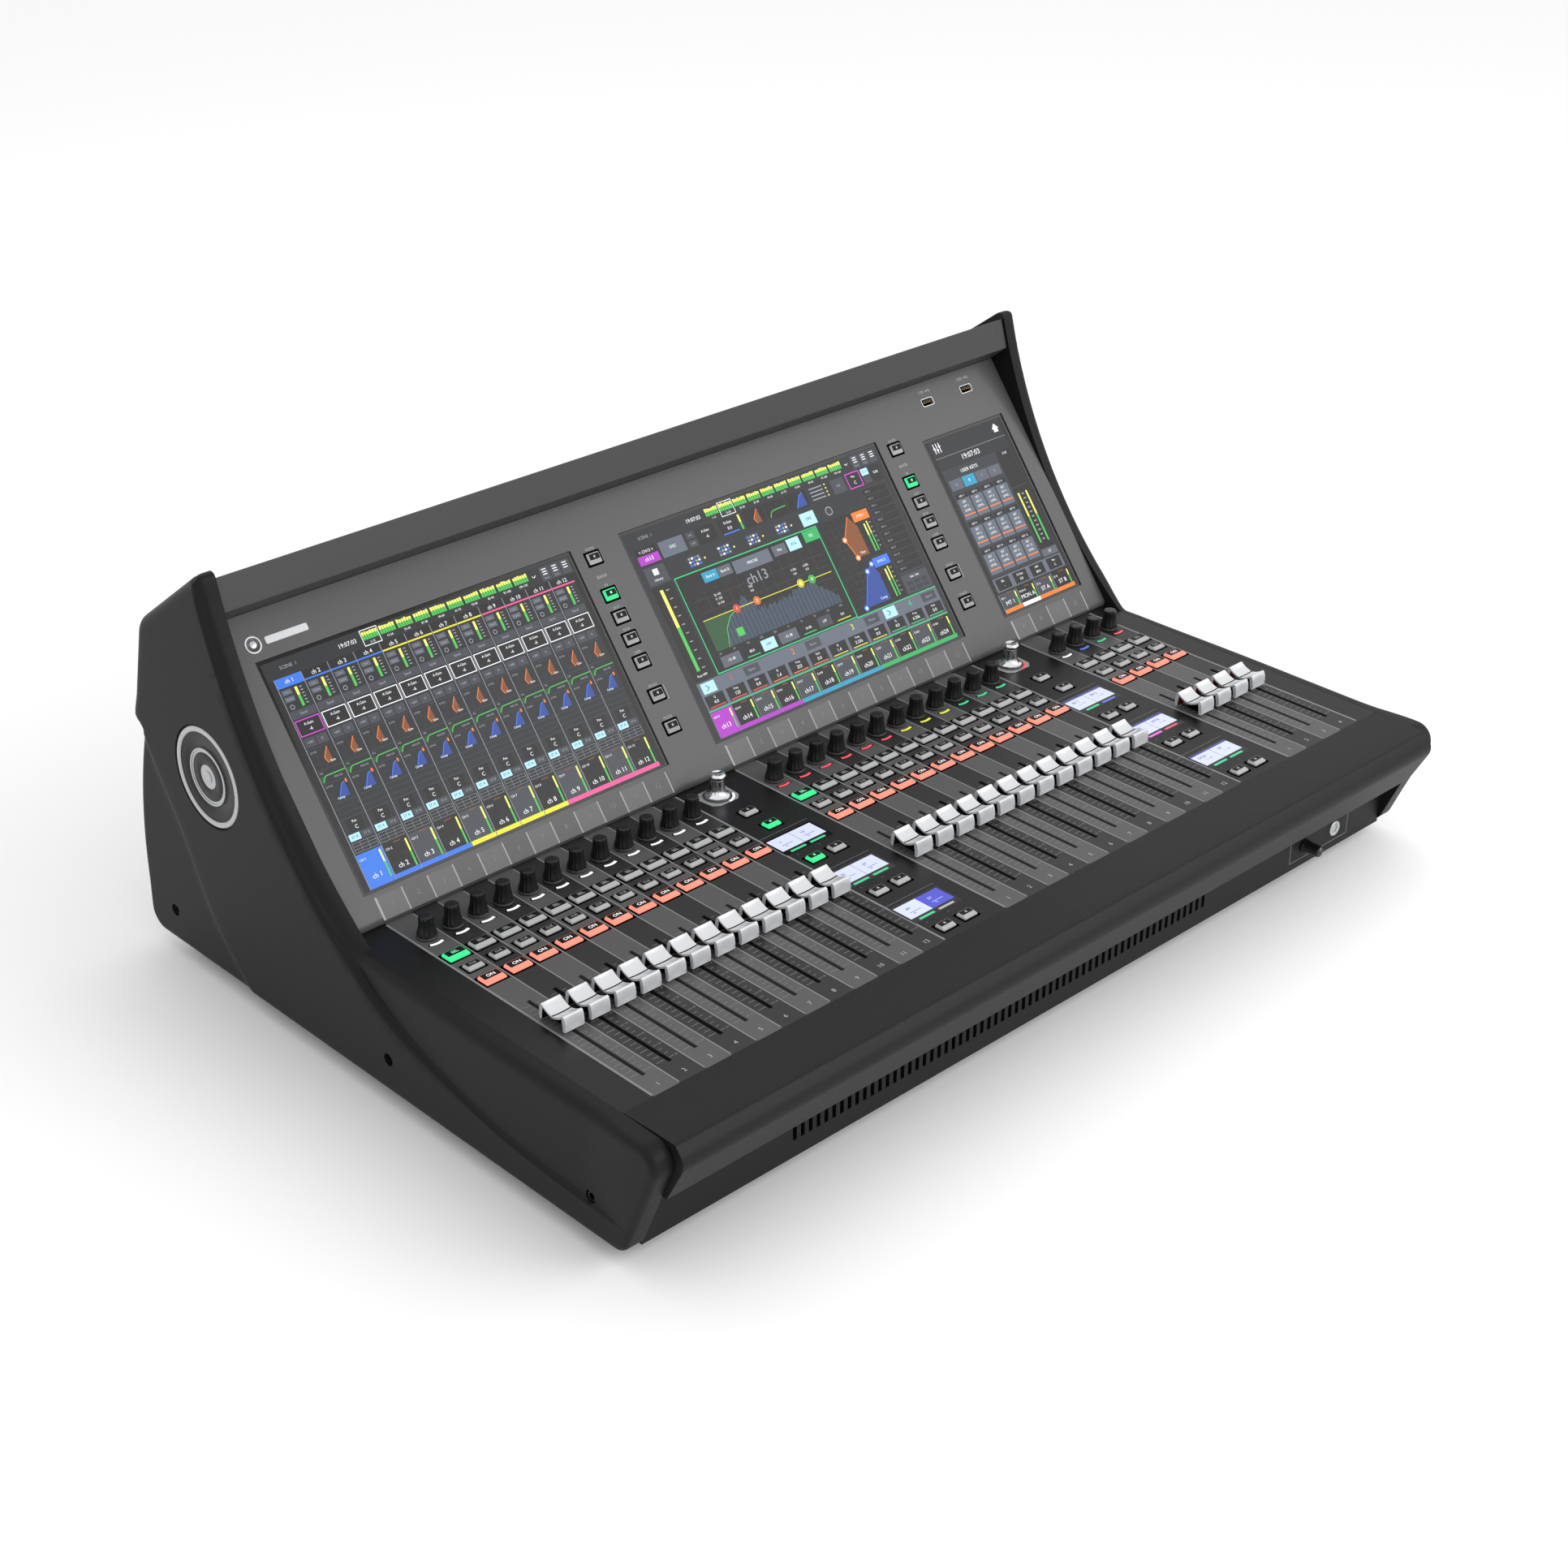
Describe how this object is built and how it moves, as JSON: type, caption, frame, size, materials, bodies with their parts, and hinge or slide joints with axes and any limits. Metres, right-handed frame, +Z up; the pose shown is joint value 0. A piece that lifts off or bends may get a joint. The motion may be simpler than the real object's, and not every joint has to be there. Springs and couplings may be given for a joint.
{
  "type": "mixing console",
  "caption": "Digital audio mixing console: sloping bezel with three touch screens over a flat panel of motor faders, encoder knobs and lit keys, between two sculpted side cheeks.",
  "frame": {"origin": "centre of the bounding box's underside, on the surface that the four feet stand on", "axes": "+X to the operator's right along the width, +Y to the rear, +Z up"},
  "size_m": [0.793, 0.564, 0.324],
  "materials": {
    "cheek_plastic": "fine moulded grain",
    "black_steel": "fine powder coat",
    "cover_paint": "satin",
    "bezel_paint": "satin",
    "panel_paint": "satin print",
    "armrest_plastic": "fine grain",
    "screen_glass": "gloss",
    "display_glass": "lit display",
    "port_metal": "plated",
    "foot_rubber": "matt",
    "black_screw": "satin",
    "board": "solder mask",
    "supply_case": "folded sheet",
    "black_socket": "satin",
    "chrome_knob": "polished",
    "knob_plastic": "satin",
    "grey_key": "soft keycap",
    "lit_key": "lit keycap",
    "fader_cap": "satin silver"
  },
  "bodies": {
    "console": {"left_cheek": "cheek_plastic", "right_cheek": "cheek_plastic", "bottom_tray": "black_steel", "rear_panel": "black_steel", "top_cover": "cover_paint", "screen_bezel": "bezel_paint", "control_panel": "panel_paint", "armrest": "armrest_plastic", "left_screen": "screen_glass", "centre_screen": "screen_glass", "utility_screen": "screen_glass", "bank_displays": "display_glass", "usb_ports": "port_metal", "phones_jack": "port_metal", "rubber_feet": "foot_rubber", "cheek_screws": "black_screw", "circuit_boards": "board", "power_supplies": "supply_case", "fader_tracks": "port_metal", "xlr_sockets": "black_socket", "network_ports": "black_socket", "power_inlets": "black_socket"},
    "fader_1_01": {"fader_1_01": "fader_cap"},
    "fader_1_02": {"fader_1_02": "fader_cap"},
    "fader_1_03": {"fader_1_03": "fader_cap"},
    "fader_1_04": {"fader_1_04": "fader_cap"},
    "fader_1_05": {"fader_1_05": "fader_cap"},
    "fader_1_06": {"fader_1_06": "fader_cap"},
    "fader_1_07": {"fader_1_07": "fader_cap"},
    "fader_1_08": {"fader_1_08": "fader_cap"},
    "fader_1_09": {"fader_1_09": "fader_cap"},
    "fader_1_10": {"fader_1_10": "fader_cap"},
    "fader_1_11": {"fader_1_11": "fader_cap"},
    "fader_1_12": {"fader_1_12": "fader_cap"},
    "fader_2_01": {"fader_2_01": "fader_cap"},
    "fader_2_02": {"fader_2_02": "fader_cap"},
    "fader_2_03": {"fader_2_03": "fader_cap"},
    "fader_2_04": {"fader_2_04": "fader_cap"},
    "fader_2_05": {"fader_2_05": "fader_cap"},
    "fader_2_06": {"fader_2_06": "fader_cap"},
    "fader_2_07": {"fader_2_07": "fader_cap"},
    "fader_2_08": {"fader_2_08": "fader_cap"},
    "fader_2_09": {"fader_2_09": "fader_cap"},
    "fader_2_10": {"fader_2_10": "fader_cap"},
    "fader_2_11": {"fader_2_11": "fader_cap"},
    "fader_2_12": {"fader_2_12": "fader_cap"},
    "fader_3_01": {"fader_3_01": "fader_cap"},
    "fader_3_02": {"fader_3_02": "fader_cap"},
    "fader_3_03": {"fader_3_03": "fader_cap"},
    "fader_3_04": {"fader_3_04": "fader_cap"},
    "touch_knob_1": {"touch_knob_1": "chrome_knob"},
    "touch_knob_2": {"touch_knob_2": "chrome_knob"},
    "phones_knob": {"phones_knob": "knob_plastic"},
    "encoder_knobs": {"encoder_knobs": "knob_plastic"},
    "sel_keys": {"sel_keys": "grey_key"},
    "cue_keys": {"cue_keys": "grey_key"},
    "on_keys": {"on_keys": "lit_key"},
    "bank_keys": {"bank_keys": "grey_key"},
    "bezel_keys": {"bezel_keys": "grey_key"},
    "power_switches": {"power_switches": "knob_plastic"}
  },
  "joints": [
    {"name": "fader_1_01_slide", "type": "slide", "parent": "console", "child": "fader_1_01", "axis": [0, 1, 0], "range_m": [-0.072, 0.028]},
    {"name": "fader_1_02_slide", "type": "slide", "parent": "console", "child": "fader_1_02", "axis": [0, 1, 0], "range_m": [-0.072, 0.028]},
    {"name": "fader_1_03_slide", "type": "slide", "parent": "console", "child": "fader_1_03", "axis": [0, 1, 0], "range_m": [-0.072, 0.028]},
    {"name": "fader_1_04_slide", "type": "slide", "parent": "console", "child": "fader_1_04", "axis": [0, 1, 0], "range_m": [-0.072, 0.028]},
    {"name": "fader_1_05_slide", "type": "slide", "parent": "console", "child": "fader_1_05", "axis": [0, 1, 0], "range_m": [-0.072, 0.028]},
    {"name": "fader_1_06_slide", "type": "slide", "parent": "console", "child": "fader_1_06", "axis": [0, 1, 0], "range_m": [-0.072, 0.028]},
    {"name": "fader_1_07_slide", "type": "slide", "parent": "console", "child": "fader_1_07", "axis": [0, 1, 0], "range_m": [-0.072, 0.028]},
    {"name": "fader_1_08_slide", "type": "slide", "parent": "console", "child": "fader_1_08", "axis": [0, 1, 0], "range_m": [-0.072, 0.028]},
    {"name": "fader_1_09_slide", "type": "slide", "parent": "console", "child": "fader_1_09", "axis": [0, 1, 0], "range_m": [-0.072, 0.028]},
    {"name": "fader_1_10_slide", "type": "slide", "parent": "console", "child": "fader_1_10", "axis": [0, 1, 0], "range_m": [-0.072, 0.028]},
    {"name": "fader_1_11_slide", "type": "slide", "parent": "console", "child": "fader_1_11", "axis": [0, 1, 0], "range_m": [-0.072, 0.028]},
    {"name": "fader_1_12_slide", "type": "slide", "parent": "console", "child": "fader_1_12", "axis": [0, 1, 0], "range_m": [-0.072, 0.028]},
    {"name": "fader_2_01_slide", "type": "slide", "parent": "console", "child": "fader_2_01", "axis": [0, 1, 0], "range_m": [-0.072, 0.028]},
    {"name": "fader_2_02_slide", "type": "slide", "parent": "console", "child": "fader_2_02", "axis": [0, 1, 0], "range_m": [-0.072, 0.028]},
    {"name": "fader_2_03_slide", "type": "slide", "parent": "console", "child": "fader_2_03", "axis": [0, 1, 0], "range_m": [-0.072, 0.028]},
    {"name": "fader_2_04_slide", "type": "slide", "parent": "console", "child": "fader_2_04", "axis": [0, 1, 0], "range_m": [-0.072, 0.028]},
    {"name": "fader_2_05_slide", "type": "slide", "parent": "console", "child": "fader_2_05", "axis": [0, 1, 0], "range_m": [-0.072, 0.028]},
    {"name": "fader_2_06_slide", "type": "slide", "parent": "console", "child": "fader_2_06", "axis": [0, 1, 0], "range_m": [-0.072, 0.028]},
    {"name": "fader_2_07_slide", "type": "slide", "parent": "console", "child": "fader_2_07", "axis": [0, 1, 0], "range_m": [-0.072, 0.028]},
    {"name": "fader_2_08_slide", "type": "slide", "parent": "console", "child": "fader_2_08", "axis": [0, 1, 0], "range_m": [-0.072, 0.028]},
    {"name": "fader_2_09_slide", "type": "slide", "parent": "console", "child": "fader_2_09", "axis": [0, 1, 0], "range_m": [-0.072, 0.028]},
    {"name": "fader_2_10_slide", "type": "slide", "parent": "console", "child": "fader_2_10", "axis": [0, 1, 0], "range_m": [-0.072, 0.028]},
    {"name": "fader_2_11_slide", "type": "slide", "parent": "console", "child": "fader_2_11", "axis": [0, 1, 0], "range_m": [-0.072, 0.028]},
    {"name": "fader_2_12_slide", "type": "slide", "parent": "console", "child": "fader_2_12", "axis": [0, 1, 0], "range_m": [-0.072, 0.028]},
    {"name": "fader_3_01_slide", "type": "slide", "parent": "console", "child": "fader_3_01", "axis": [0, 1, 0], "range_m": [-0.072, 0.028]},
    {"name": "fader_3_02_slide", "type": "slide", "parent": "console", "child": "fader_3_02", "axis": [0, 1, 0], "range_m": [-0.072, 0.028]},
    {"name": "fader_3_03_slide", "type": "slide", "parent": "console", "child": "fader_3_03", "axis": [0, 1, 0], "range_m": [-0.072, 0.028]},
    {"name": "fader_3_04_slide", "type": "slide", "parent": "console", "child": "fader_3_04", "axis": [0, 1, 0], "range_m": [-0.072, 0.028]},
    {"name": "touch_knob_1_turn", "type": "hinge", "parent": "console", "child": "touch_knob_1", "pos_m": [-0.077, 0.0195, 0.103], "axis": [0, 0, 1], "continuous": true},
    {"name": "touch_knob_2_turn", "type": "hinge", "parent": "console", "child": "touch_knob_2", "pos_m": [0.239, 0.0195, 0.103], "axis": [0, 0, 1], "continuous": true},
    {"name": "phones_knob_turn", "type": "hinge", "parent": "console", "child": "phones_knob", "pos_m": [0.2837, -0.243, 0.0296], "axis": [0, -1, 0], "range_deg": [-150, 150]},
    {"name": "encoder_knobs_press", "type": "slide", "parent": "console", "child": "encoder_knobs", "axis": [0, 0, 1], "range_m": [-0.0005, 0], "stiffness_N_per_m": 6000},
    {"name": "sel_keys_press", "type": "slide", "parent": "console", "child": "sel_keys", "axis": [0, 0, 1], "range_m": [-0.0008, 0], "stiffness_N_per_m": 6000},
    {"name": "cue_keys_press", "type": "slide", "parent": "console", "child": "cue_keys", "axis": [0, 0, 1], "range_m": [-0.0008, 0], "stiffness_N_per_m": 6000},
    {"name": "on_keys_press", "type": "slide", "parent": "console", "child": "on_keys", "axis": [0, 0, 1], "range_m": [-0.0008, 0], "stiffness_N_per_m": 6000},
    {"name": "bank_keys_press", "type": "slide", "parent": "console", "child": "bank_keys", "axis": [0, 0, 1], "range_m": [-0.0008, 0], "stiffness_N_per_m": 4000},
    {"name": "bezel_keys_press", "type": "slide", "parent": "console", "child": "bezel_keys", "axis": [0, -0.788, 0.6157], "range_m": [-0.0008, 0], "stiffness_N_per_m": 4000},
    {"name": "power_switches_rock", "type": "hinge", "parent": "console", "child": "power_switches", "pos_m": [0.319, 0.2545, 0.12], "axis": [1, 0, 0], "range_deg": [0, 8]}
  ]
}
